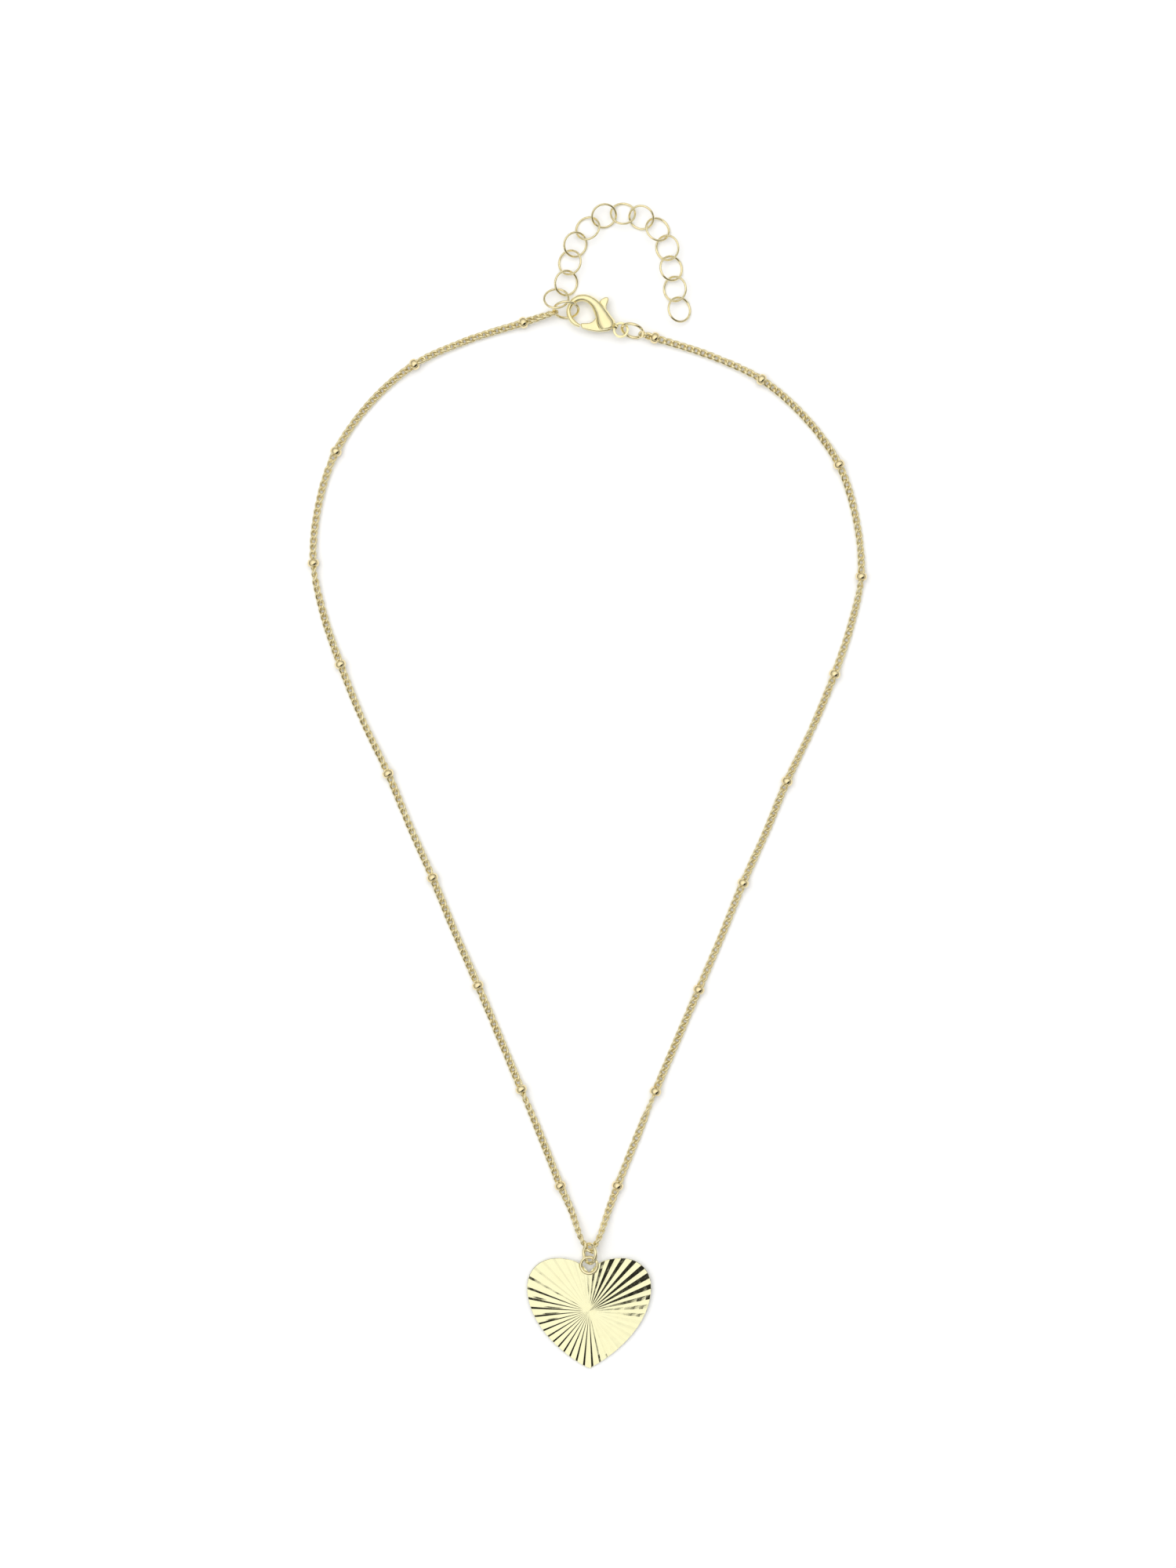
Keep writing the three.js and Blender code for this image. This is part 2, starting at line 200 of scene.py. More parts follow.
class Route:
    """A line measured by length: where a distance along it falls, and which way it runs there."""

    def __init__(self, points):
        self.points = np.array([tuple(p) for p in points])
        steps = np.linalg.norm(np.diff(self.points, axis=0), axis=1)
        self.along = np.concatenate([[0], np.cumsum(steps)])
        self.length = self.along[-1]

    def at(self, distance):
        return Vector([float(np.interp(distance, self.along, self.points[:, k])) for k in range(3)])

    def direction(self, distance):
        ahead = self.at(min(distance + DIRECTION_REACH, self.length))
        behind = self.at(max(distance - DIRECTION_REACH, 0))
        return (ahead - behind).normalized()


# %% The two halves of the chain, in millimetres from the middle of the necklace
LEFT_ROUTE = [
    (-11.8, 85.5), (-22.1, 82.3), (-31.9, 77.8), (-40.1, 70.7), (-46.4, 61.7), (-49.7, 51.7),
    (-50.6, 41.1), (-48.7, 31.5), (-45.6, 22.4), (-41.5, 12.1), (-36.8, 2.2), (-32.8, -7.5),
    (-28.6, -17.0), (-24.5, -27.0), (-20.2, -36.9), (-16.2, -46.5), (-12.2, -56.1), (-8.5, -65.0),
    (-5.0, -73.9),
]
RIGHT_ROUTE = [
    (12.5, 82.7), (22.6, 79.5), (32.2, 75.0), (40.3, 68.0), (46.5, 59.3), (49.7, 49.2),
    (50.6, 38.6), (48.7, 29.5), (45.7, 20.6), (41.6, 10.6), (36.9, 0.8), (33.0, -8.7),
    (28.8, -18.0), (24.8, -27.9), (20.6, -37.7), (16.6, -47.1), (12.6, -56.5), (9.1, -65.2),
    (5.6, -73.9),
]
BEAD_RADIUS = 1.075 * MM


def flat_line(places):
    return smooth_line([(x * MM, y * MM, 0) for x, y in places])


left_line = flat_line(LEFT_ROUTE)
right_line = flat_line(RIGHT_ROUTE)
for side, line in (("left", left_line), ("right", right_line)):
    print(f"{side} half is {Route(line).length * 1000:.1f} mm long")

# %% [markdown]
# ## One curb link
# A curb link starts as an oval of round wire and is then twisted, so that its two ends stand at right
# angles to each other and the chain lies flat. Modelled straight, neighbours would run through each
# other; the twist is what lets them lock. The wire is swept as a tube around the oval in code, because
# the same few points then serve for every link, and the oval's fullness and twist stay plain numbers.

# %% Link sizes and the twisted oval
LINK_WIRE = 0.47 * MM
LINK_PITCH = 1.3 * MM
LINK_WIDTH = 1.48 * MM
LINK_HALF_LENGTH = (LINK_PITCH + LINK_WIRE) / 2
LINK_HALF_WIDTH = (LINK_WIDTH - LINK_WIRE) / 2
LINK_TWIST = math.radians(44)
LINK_FULLNESS = 2.5
LINK_EDGE = 0.475 * MM  # half the height of a link that lies flat
LINK_SIDES = 8
LINK_STEPS = 26


def swept_tube(centres, radius, sides, closed=True):
    """Vertices and faces of a round tube along the centres, without twisting as it goes."""
    centres = [Vector(c) for c in centres]
    count = len(centres)
    vertices, faces = [], []
    normal = None
    frames = []
    for i, centre in enumerate(centres):
        ahead = centres[(i + 1) % count] if closed or i + 1 < count else centres[i]
        behind = centres[i - 1] if closed or i > 0 else centres[i]
        along = (ahead - behind).normalized()
        if normal is None:
            guess = Vector((0, 0, 1)) if abs(along.z) < 0.9 else Vector((1, 0, 0))
            normal = (guess - along * guess.dot(along)).normalized()
        else:
            normal = (normal - along * normal.dot(along)).normalized()
        frames.append((centre, along, normal.copy()))
    for centre, along, across in frames:
        up = along.cross(across)
        for k in range(sides):
            angle = 2 * math.pi * k / sides
            vertices.append(centre + radius * (math.cos(angle) * across + math.sin(angle) * up))
    shift = 0
    if closed:
        first, last = frames[0], frames[-1]
        turned = (last[2] - first[1] * last[2].dot(first[1])).normalized()
        turn = math.atan2(turned.dot(first[1].cross(first[2])), turned.dot(first[2]))
        shift = round(turn / (2 * math.pi) * sides)
    for i in range(count if closed else count - 1):
        j = (i + 1) % count
        offset = shift if closed and j == 0 else 0
        here, there = i * sides, j * sides
        for a in range(sides):
            b = (a + 1) % sides
            faces.append((here + a, here + b, there + (b + offset) % sides, there + (a + offset) % sides))
    return vertices, faces


def curb_oval():
    points = []
    for i in range(LINK_STEPS):
        angle = 2 * math.pi * i / LINK_STEPS
        c, s = math.cos(angle), math.sin(angle)
        x = LINK_HALF_LENGTH * math.copysign(abs(c) ** (2 / LINK_FULLNESS), c)
        y = LINK_HALF_WIDTH * math.copysign(abs(s) ** (2 / LINK_FULLNESS), s)
        twist = LINK_TWIST * x / LINK_HALF_LENGTH
        points.append(Vector((x, y * math.cos(twist), y * math.sin(twist))))
    return points


link_vertices, link_faces = swept_tube(curb_oval(), LINK_WIRE / 2, LINK_SIDES)
print(f"one link: {len(link_faces)} faces, {(2 * LINK_HALF_LENGTH + LINK_WIRE) * 1000:.2f} mm long")


# %% Helpers that turn points into a piece
def bare_solid(name, vertices, faces):
    """An object with its faces turned outwards, and no material yet."""
    mesh = bpy.data.meshes.new(name)
    mesh.from_pydata([tuple(v) for v in vertices], [], faces)
    builder = bmesh.new()
    builder.from_mesh(mesh)
    bmesh.ops.recalc_face_normals(builder, faces=builder.faces)
    builder.to_mesh(mesh)
    builder.free()
    solid = bpy.data.objects.new(name, mesh)
    bpy.context.collection.objects.link(solid)
    return solid


def new_piece(name, vertices, faces, material, body, slot, smooth=True):
    """A finished piece that rides on its moving body."""
    piece = bare_solid(name, vertices, faces)
    for polygon in piece.data.polygons:
        polygon.use_smooth = smooth
    piece.data.materials.append(material)
    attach(piece, body)
    return piece


def facing(along, roll):
    """A rotation that lays a part's own X along the line, turned about it by roll."""
    along = along.normalized()
    side = Vector((0, 0, 1)).cross(along).normalized()
    up = along.cross(side)
    turned_side = math.cos(roll) * side + math.sin(roll) * up
    turned_up = along.cross(turned_side)
    return Matrix((along, turned_side, turned_up)).transposed()


def chain_mesh(places):
    """All the links at the places, each given as its middle, its direction and its roll."""
    vertices, faces = [], []
    for middle, along, roll in places:
        turn = facing(along, roll)
        start = len(vertices)
        vertices += [middle + turn @ v for v in link_vertices]
        faces += [tuple(start + i for i in face) for face in link_faces]
    return vertices, faces


# %% [markdown]
# ## Laying the links
# A real chain is never laid perfectly flat. It rolls a little from bead to bead, and here and there a
# few links stand on edge. Each stretch has a given roll at its start and its end, and a small seeded
# wobble goes on top. Links sit at an even pitch, with one link hidden inside each bead, just as the
# beads are soldered round a link. The height follows from the roll: a link on edge is taller than a
# flat one, and near a bead the chain is lifted to the bead's middle.

# %% Rolls of each stretch, in degrees, from the clasp's end to the heart's end
LEFT_ROLLS = [
    (5, 20), (15, -10), (0, 25), (70, 10), (20, 35), (10, 25), (0, 20), (15, 0), (85, 10),
]
RIGHT_ROLLS = [
    (0, -20), (-10, 10), (5, -25), (-60, -10), (-15, -30), (-10, -20), (0, -20), (-15, 0), (-85, -10),
]
ROLL_WOBBLE = 7
ROLL_SPEED = 2.2  # the roll reaches its end value this many times sooner than the stretch ends
wobble = random.Random(11)


def resting_height(roll):
    return math.hypot(LINK_EDGE * math.cos(roll), LINK_WIDTH / 2 * math.sin(roll))


def stretch_places(line, roll_ends, extra_links):
    """Links from one bead to the next. Link 0 is inside the first bead."""
    route = Route(line)
    count = round(route.length / LINK_PITCH)
    pitch = route.length / count
    places = []
    for i in range(count + extra_links):
        t = i / count
        settle = min(1.0, ROLL_SPEED * t)
        steady = roll_ends[0] + (roll_ends[1] - roll_ends[0]) * settle
        roll = math.radians(steady + wobble.gauss(0, ROLL_WOBBLE))
        rest = resting_height(roll)
        lift = abs(2 * t - 1) ** 3
        middle = route.at(i * pitch)
        middle.z = rest + (BEAD_RADIUS - rest) * lift
        places.append((middle, route.direction(i * pitch), roll))
    return places


def half_places(line, rolls):
    per_stretch = 2 * STEPS
    places = []
    for i, roll_ends in enumerate(rolls):
        in_last_bead = 1 if i == len(rolls) - 1 else 0
        stretch = line[i * per_stretch:(i + 1) * per_stretch + 1]
        places += stretch_places(stretch, roll_ends, in_last_bead)
    return places


# %% Make one half, with any links that come before its first bead
def add_half(side, line, rolls, before=()):
    places = [*before, *half_places(line, rolls)]
    piece = new_piece(f"curb_chain_{side}", *chain_mesh(places), chain_gold, f"{side}_half", "chain")
    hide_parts(*[f"chain_{side}_{i:02d}" for i in range(1, 10)])
    path = [tuple(middle) for middle, _, _ in places]
    length = Route(path).length
    print(f"{side}: {len(places)} links, {length * 1000:.1f} mm")
    return piece, path, length


# %% [markdown]
# ## Round wire rings
# Jump rings and extender rings are wound on a rod and cut off one turn at a time, so each has a seam
# where its two ends meet. A torus would have no seam and nothing to show where the ring was closed.
# The ring is a swept arc that stops a hair short of closing, with flat cut ends and eased rims. Its
# middle, its lean and its size are read from the plain solid that stands there.

# %% Where a ring lies
WIRE_FIT = 0.95  # of the plain solid's wire, so that round rings turn freely in each other
PENDANT_FIT = 0.88  # the same for the two rings that swing furthest
RING_STEPS = 64
WIRE_SIDES = 12


def ring_pose(node):
    """Middle, axis, radius to the wire's middle, and wire thickness of the plain ring in a node."""
    points = np.array([tuple(v.co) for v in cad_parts[node].data.vertices])
    points = np.unique(points.round(7), axis=0)
    middle = points.mean(axis=0)
    _, _, axes = np.linalg.svd(points - middle)
    axis = Vector(axes[2])
    if axis.z < 0:
        axis = -axis
    across = np.array(axis)
    flat = (points - middle) - np.outer((points - middle) @ across, across)
    reach = np.linalg.norm(flat, axis=1)
    inner, outer = float(reach.min()), float(reach.max())
    return Vector(middle), axis.normalized(), (outer + inner) / 2, outer - inner


def add_ring(name, node, body, seam_towards=None, seam=0.05 * MM, fit=WIRE_FIT):
    """A ring in the node's place. seam_towards is the direction, seen from above, of its cut."""
    middle, axis, radius, wire = ring_pose(node)
    towards = Vector(seam_towards or (1, 0, 0))
    start = (towards - axis * towards.dot(axis)).normalized()
    side = axis.cross(start)
    open_angle = seam / radius if seam_towards else 0
    closed = open_angle == 0
    count = RING_STEPS if closed else RING_STEPS + 1
    span = 2 * math.pi - open_angle
    wire *= fit
    centres = []
    for i in range(count):
        angle = open_angle / 2 + span * i / RING_STEPS
        centres.append(middle + radius * (math.cos(angle) * start + math.sin(angle) * side))
    vertices, faces = swept_tube(centres, wire / 2, WIRE_SIDES, closed)
    if not closed:
        last = len(vertices) - WIRE_SIDES
        faces.append(tuple(range(WIRE_SIDES))[::-1])
        faces.append(tuple(range(last, last + WIRE_SIDES)))
    ring = new_piece(name, vertices, faces, wire_gold, body, "rings")
    if not closed:
        ease_cut_ends(ring)
    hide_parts(node)
    return ring


def ease_cut_ends(ring):
    """Keeps the two cut faces flat and eases their rims."""
    for polygon in ring.data.polygons:
        if len(polygon.vertices) == WIRE_SIDES:
            polygon.use_smooth = False
    bevel = ring.modifiers.new("cut rim", "BEVEL")
    bevel.width = 0.02 * MM
    bevel.segments = 2
    bevel.limit_method = "ANGLE"
    bevel.angle_limit = math.radians(50)


# %% Three single rings, then the extender, with each seam turned on from the one before
EXTENDER_RINGS = 13
SEAM_TURN = math.radians(137)
rings = [
    add_ring("heart_jump_ring", "pendant_jump_ring", "pendant_jump_ring", (0.75, -0.65, 0),
             seam=0.1 * MM, fit=PENDANT_FIT),
    add_ring("chain_end_ring", "end_ring", "end_ring", (-0.6, 0.8, 0)),
    add_ring("clasp_ring", "clasp_jump_ring", "clasp_jump_ring", (0.1, -1, 0), seam=0.12 * MM),
]
for i in range(1, EXTENDER_RINGS + 1):
    turn = SEAM_TURN * i
    rings.append(add_ring(f"extender_ring_{i:02d}", f"extender_link_{i:02d}", f"extender_{i:02d}",
                          (math.cos(turn), math.sin(turn), 0), seam=0.03 * MM))
print(f"{len(rings)} rings")

# %% [markdown]
# ## The ends of the chain
# Each end has a few links more. On the left they run from the first bead to the end ring, and the
# last one holds the ring's wire. On the right two links reach from the first bead to the clasp's
# ring. The place of the last link follows from the ring: its end wire lies just inside the ring's.

# %% Links that hold a ring
END_ROLLS = (60, 0)  # degrees, at the ring and at the bead
LINK_PLAY = 0.03 * MM


def reaching_places(bead, node):
    """Links from beside the bead to the one that holds the ring, none of them in the bead."""
    middle, axis, radius, wire = ring_pose(node)
    towards = bead - middle
    towards = (towards - axis * towards.dot(axis)).normalized()
    ring_wire = middle + towards * radius
    held = ring_wire - towards * (wire / 2 + LINK_WIRE / 2 + LINK_PLAY)
    reach = (bead - held).normalized()
    last = held + reach * LINK_HALF_LENGTH
    gap = (bead - last).length
    count = max(1, math.ceil(gap / LINK_PITCH))
    places = []
    for i in range(count):
        t = i / count
        place = last.lerp(bead, t)
        roll = math.radians(END_ROLLS[0] + (END_ROLLS[1] - END_ROLLS[0]) * t)
        places.append((place, reach, roll))
    print(f"{node}: {count} links hold it, {gap / count * 1000:.2f} mm apart")
    return places


def bead_place(route, index):
    x, y = route[index]
    return Vector((x * MM, y * MM, BEAD_RADIUS))


left_end = reaching_places(bead_place(LEFT_ROUTE, 0), "end_ring")
right_end = reaching_places(bead_place(RIGHT_ROUTE, 0), "clasp_jump_ring")
end_piece = new_piece("curb_chain_left_end", *chain_mesh(left_end), chain_gold, "necklace", "chain")
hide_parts("chain_left_end")

# %% The halves themselves
left_chain, left_path, left_length = add_half("left", left_line, LEFT_ROLLS)
right_chain, right_path, right_length = add_half("right", right_line, RIGHT_ROLLS, right_end)

# %% [markdown]
# ## The bend over the heart's ring
# Between the last bead of each half a short run of chain passes through the heart's jump ring. It
# hangs in a V, turned on edge at its point, because that is the only way the links fit through the
# ring side by side with its wire.

# %% Front run
BEND_DROP = 0.85 * MM  # the chain's middle below the inside of the ring's wire
BEND_SHIFT = 0.05 * MM
BESIDE_BEND = (1.5 * MM, 2.0 * MM)  # sideways and up from the bend
HALFWAY = (3.4 * MM, -78.6 * MM, 0.75 * MM)  # sideways from the bend, then y and height as they are
FLAT_ROLL = 10  # degrees, beside the beads
BEND_ROLL = 70  # degrees more, at the bend

pendant_middle, _, pendant_radius, pendant_wire = ring_pose("pendant_jump_ring")
bend = Vector((pendant_middle.x + BEND_SHIFT, 0, pendant_middle.z))
bend.y = pendant_middle.y + pendant_radius - pendant_wire / 2 - BEND_DROP


def front_side(sign):
    """Two places on one side of the bend, the nearer one first."""
    near = (bend.x + sign * BESIDE_BEND[0], bend.y + BESIDE_BEND[1], bend.z)
    far = (bend.x + sign * HALFWAY[0], HALFWAY[1], HALFWAY[2])
    return [near, far]


front_places = [bead_place(LEFT_ROUTE, -1), *front_side(-1)[::-1], bend]
front_places += [*front_side(1), bead_place(RIGHT_ROUTE, -1)]
front_route = Route(smooth_line(front_places))
front_count = round(front_route.length / LINK_PITCH)
front_links = []
for i in range(1, front_count):
    t = i / front_count
    distance = t * front_route.length
    on_edge = 1 - abs(2 * t - 1)
    side = 1 if t < 0.5 else -1
    roll = math.radians(side * (FLAT_ROLL + BEND_ROLL * on_edge))
    front_links.append((front_route.at(distance), front_route.direction(distance), roll))
front = new_piece("curb_chain_front", *chain_mesh(front_links), chain_gold, "necklace", "chain")
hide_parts("chain_front")
print(f"front run: {len(front_links)} links, {front_route.length * 1000:.1f} mm")

# %% [markdown]
# ## Beads
# A rondelle is a short fat bead, turned on a lathe, with a flat end round each mouth of its hole and a
# full, polished rim. A squashed sphere would have neither the flat ends nor the hole. The bead's
# outline is spun round the chain's direction. Only half of it is written down, as its ends are alike.

# %% Bead outline, from one end of its hole to the other
BEADS_PER_HALF = 10
BEAD_LENGTH = 1.3 * MM
HALF_PROFILE = [(0.50, 0.40), (0.50, 0.66), (0.47, 0.77), (0.40, 0.86), (0.28, 0.94), (0.14, 0.985)]
BEAD_PROFILE = [*[(-x, r) for x, r in HALF_PROFILE], (0.0, 1.0), *HALF_PROFILE[::-1]]


def spun(profile, middle, along, around=40):
    """A closed ring spun from points of (along, outwards) about the line through middle."""
    turn = facing(along, 0)
    vertices, faces = [], []
    count = len(profile)
    for i in range(around):
        angle = 2 * math.pi * i / around
        for x, r in profile:
            vertices.append(middle + turn @ Vector((x, r * math.cos(angle), r * math.sin(angle))))
    for i in range(around):
        j = (i + 1) % around
        for k in range(count):
            m = (k + 1) % count
            faces.append((i * count + k, i * count + m, j * count + m, j * count + k))
    return vertices, faces


def add_beads(side, line):
    beads = []
    route = Route(line)
    profile = [(x * BEAD_LENGTH, r * BEAD_RADIUS) for x, r in BEAD_PROFILE]
    for i in range(BEADS_PER_HALF):
        index = i * 2 * STEPS
        middle = line[index].copy()
        middle.z = BEAD_RADIUS
        along = route.direction(route.along[index])
        bead = new_piece(f"rondelle_{side}_{i + 1:02d}", *spun(profile, middle, along), bead_gold,
                         f"{side}_half", "beads")
        if i > 0:
            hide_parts(f"bead_{side}_{i + 1:02d}")
        beads.append(bead)
    return beads


left_beads = add_beads("left", left_line)
right_beads = add_beads("right", right_line)
print("beads:", len(left_beads) + len(right_beads))

# %% [markdown]
# ## The heart
# The heart is stamped from sheet, then a spinning cutter draws forty-one V-shaped cuts from its
# middle to its edge. Each cut has a broad, shallow flank and a narrow, steep one, with a strip of
# flat sheet left between it and the next. Seen together they sparkle, because each flank mirrors a
# different part of the room. A bump map could fake the lines but not the bright and dark flanks, so
# the cuts are real: the top is a fan of strips whose heights follow the cutter.

# %% Heart outline, in millimetres from where the cuts meet
HEART_HALF = 11.45
HEART_TIP = -10.7
HEART_WIDEST = 4.4
HEART_TOP = 9.8
HEART_NOTCH = HEART_TOP - 2.8
HEART_THICK = 0.5 * MM
HEART_TILT = math.radians(2.6)
HEART_MIDDLE = Vector((0.35 * MM, -97.05 * MM, -HEART_TIP * MM * math.sin(HEART_TILT)))


def bezier(a, b, c, d, steps=60):
    a, b, c, d = (Vector(p) for p in (a, b, c, d))
    ts = [i / steps for i in range(steps)]
    return [(1 - t)**3 * a + 3 * (1 - t)**2 * t * b + 3 * (1 - t) * t**2 * c + t**3 * d for t in ts]


def heart_outline():
    """Three curves up the right side, from tip to widest place to shoulder to notch, then mirrored."""
    half, top = HEART_HALF, HEART_TOP
    shoulder = 0.52 * half
    right = bezier((0, HEART_TIP), (0.56 * half, -7.3), (half, -1.5), (half, HEART_WIDEST))
    right += bezier((half, HEART_WIDEST), (half, 7.6), (0.8 * half, top), (shoulder, top))
    right += bezier((shoulder, top), (0.28 * half, top), (1.2, HEART_NOTCH + 1.9), (0, HEART_NOTCH))
    left = [Vector((-p.x, p.y)) for p in reversed(right[1:])]
    return [p * MM for p in [*right, Vector((0, HEART_NOTCH)), *left]]


outline = heart_outline()
outline_angles = np.unwrap([math.atan2(p.y, p.x) for p in outline])
outline_reach = np.array([p.length for p in outline])
order = np.argsort(outline_angles)


def reach_at(angle):
    """How far the heart's edge is from its middle, in a direction."""
    low = outline_angles[order[0]]
    wrapped = low + (angle - low) % (2 * math.pi)
    return float(np.interp(wrapped, outline_angles[order], outline_reach[order]))


to_side, to_tip = reach_at(0) * 1000, reach_at(-math.pi / 2) * 1000
print(f"heart edge: {to_side:.1f} mm to the side, {to_tip:.1f} mm to the tip")

# %% The cutter's marks
RAYS = 41
SECTOR = 2 * math.pi / RAYS
BROAD = 0.50  # share of a sector that the broad flank takes
STEEP = 0.26  # share that the steep flank takes; the rest is flat sheet
BROAD_SLOPE = math.tan(math.radians(9))
EDGE_BEVEL = 0.05 * MM
cutter = random.Random(5)


def ray_marks():
    """For each line of the fan: its direction, then how deep the cut and a second cut are there.

    Depths are per unit of reach. A second cut takes two thirds of the flat strip, as steep as the first.
    """
    marks = []
    for ray in range(RAYS):
        start = ray * SECTOR
        broad = BROAD * cutter.uniform(0.78, 1.12)
        slope = BROAD_SLOPE * cutter.uniform(0.85, 1.15)
        depth = broad * SECTOR * slope
        for share in (0, 0.5):
            marks.append((start + share * STEEP * SECTOR, -depth * share, 0.0))
        for share in (0, 0.5):
            marks.append((start + (STEEP + share * broad) * SECTOR, -depth * (1 - share), 0.0))
        land = start + (broad + STEEP) * SECTOR
        rest = SECTOR * (1 - broad - STEEP)
        second_slope = depth / (STEEP * SECTOR)
        for share in (0, 0.33, 0.67):
            marks.append((land + share * rest, 0.0, -second_slope * share * rest))
    return marks


# Places along each cut, as shares of its length. The first is the heart's middle, which all share.
ROWS = [0.0, 0.10, 0.16, 0.24, 0.33, 0.42, 0.51, 0.60, 0.69, 0.78, 0.86, 0.93, 1.0]
# Where the cutter skipped, a short second cut lies beside the first: its ray and its rows.
SECOND_CUTS = {18: (0.78, 0.86), 19: (0.51, 0.60, 0.69), 20: (0.60, 0.69, 0.78), 21: (0.69, 0.78)}
FADE_START = 0.4 * MM
FADE_END = 1.9 * MM


def cut_depth(per_reach, reach):
    """The cut is deeper further out, and fades in near the middle."""
    fade = min(1.0, max(0.0, (reach - FADE_START) / (FADE_END - FADE_START)))
    return per_reach * reach * fade


# The cutter chatters, so each cut is a little shallower here and deeper there along its length.
CHATTER = 0.16
chatter = [[1 + CHATTER * cutter.uniform(-1, 1) for _ in ROWS] for _ in range(RAYS)]
print(f"{RAYS} cuts of {len(ROWS)} places, {len(SECOND_CUTS)} of them with a second cut")

# %% Heart mesh
def fan_point(angle, reach, height):
    return Vector((reach * math.cos(angle), reach * math.sin(angle), height))


def heart_mesh():
    """A fan of lines from the middle to the edge, down over the edge, and closed by a flat back."""
    marks = ray_marks()
    count = len(marks)
    vertices = [Vector((0, 0, HEART_THICK))]
    faces = []
    rows = ROWS[1:]
    for index, (angle, per_reach, second) in enumerate(marks):
        edge = reach_at(angle) - EDGE_BEVEL
        ray = index * RAYS // count
        for share, depth in zip(rows, chatter[ray]):
            reach = share * edge
            cut = per_reach * depth + (second if share in SECOND_CUTS.get(ray, ()) else 0)
            height = HEART_THICK + cut_depth(cut, reach)
            vertices.append(fan_point(angle, reach, height))
        side = [(height - EDGE_BEVEL, 0), (EDGE_BEVEL, 0), (0, EDGE_BEVEL)]
        vertices += [fan_point(angle, reach_at(angle) - inset, z) for z, inset in side]
    per_line = len(rows) + len(side)
    for i in range(count):
        j = (i + 1) % count
        a, b = 1 + i * per_line, 1 + j * per_line
        faces.append((0, a, b))
        for k in range(per_line - 1):
            faces.append((a + k, a + k + 1, b + k + 1, b + k))
    back = len(vertices)
    vertices.append(Vector((0, 0, 0)))
    for i in range(count):
        j = (i + 1) % count
        faces.append((back, 1 + (j + 1) * per_line - 1, 1 + (i + 1) * per_line - 1))
    return vertices, faces


CUT_GOLD = (0.87, 0.845, 0.55)
WARM_CUT_GOLD = (0.84, 0.80, 0.49)
cut_gold = gold_finish("cut_gold", CUT_GOLD, WARM_CUT_GOLD, roughness=(0.07, 0.16), wear_um=1.0,
                       wear_mm=0.2)
heart_turn = Matrix.Rotation(HEART_TILT, 3, "X")
heart_vertices, heart_faces = heart_mesh()
heart_vertices = [HEART_MIDDLE + heart_turn @ v for v in heart_vertices]
heart = new_piece("sunburst_heart", heart_vertices, heart_faces, cut_gold, "heart", "heart", smooth=False)
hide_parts("heart_disc")
print(f"heart: {len(heart_faces)} faces")

# %% The soldered eyelet
add_ring("soldered_eyelet", "heart_eyelet", "heart", fit=PENDANT_FIT)

# %% [markdown]
# ## The lobster clasp
# The clasp is cast in one piece: a hook that tapers round to its tip, a swelling body that hides the
# spring, and a flat tail with an eye. Sculpting would do, but a loft is easier to keep true: the hook
# and body are one bar whose width and thickness change along a bent spine. The slot that the lever
# works in is then cut out of it.

# %% Spine of the casting, in millimetres from the rivet, with its width and thickness
CLASP_MIDDLE = Vector((2.45, 85.85, 1.6)) * MM
SPINE = [
    # x, y, width, thickness, from the hook's tip to the end of the body
    (-3.80, -1.06, 0.62, 0.85), (-4.60, -0.62, 0.85, 1.05), (-5.28, 0.02, 0.94, 1.06),
    (-5.80, 1.00, 0.86, 1.02), (-5.88, 2.00, 0.84, 1.02), (-5.35, 3.15, 1.04, 1.15),
    (-4.30, 3.98, 1.22, 1.40), (-3.10, 4.18, 1.32, 1.55), (-2.05, 3.88, 1.48, 1.75),
    (-0.95, 3.00, 1.85, 2.15), (-0.24, 1.95, 2.30, 2.55), (0.28, 0.95, 2.80, 2.88),
    (0.72, -0.08, 3.30, 2.95), (1.08, -0.75, 3.45, 2.95), (1.28, -1.20, 3.20, 2.93),
    (1.38, -1.45, 2.85, 2.90), (1.42, -1.60, 2.45, 2.80), (1.44, -1.68, 2.00, 2.40),
]
NECK = [
    (1.50, -0.55, 1.50, 1.60), (2.20, -0.85, 1.35, 1.35), (2.75, -1.12, 1.05, 1.05),
    (3.10, -1.35, 0.80, 0.85),
]
ROUND_WIDTH = 0.85  # 1 is an ellipse, less is squarer
ROUND_HEIGHT = 0.95


def eased(value, power):
    return math.copysign(abs(value) ** power, value)


def lofted_bar(spine, around=24, steps=8):
    """A bar along the spine, with its width and thickness drawn on a rounded section."""
    line = smooth_line([(x, y, 0) for x, y, _, _ in spine], steps)
    sizes = smooth_line([(w, t, 0) for _, _, w, t in spine], steps)
    vertices, faces = [], []
    for i, (middle, size) in enumerate(zip(line, sizes)):
        ahead = line[min(i + 1, len(line) - 1)]
        behind = line[max(i - 1, 0)]
        along = (ahead - behind).normalized()
        across = Vector((-along.y, along.x, 0))
        for k in range(around):
            angle = 2 * math.pi * k / around
            w = size.x / 2 * eased(math.cos(angle), ROUND_WIDTH)
            t = size.y / 2 * eased(math.sin(angle), ROUND_HEIGHT)
            vertices.append(middle + across * w + Vector((0, 0, t)))
    count = len(line)
    for i in range(count - 1):
        for k in range(around):
            m = (k + 1) % around
            faces.append((i * around + k, i * around + m, (i + 1) * around + m, (i + 1) * around + k))
    faces.append(tuple(range(around))[::-1])
    faces.append(tuple(range((count - 1) * around, count * around)))
    return vertices, faces


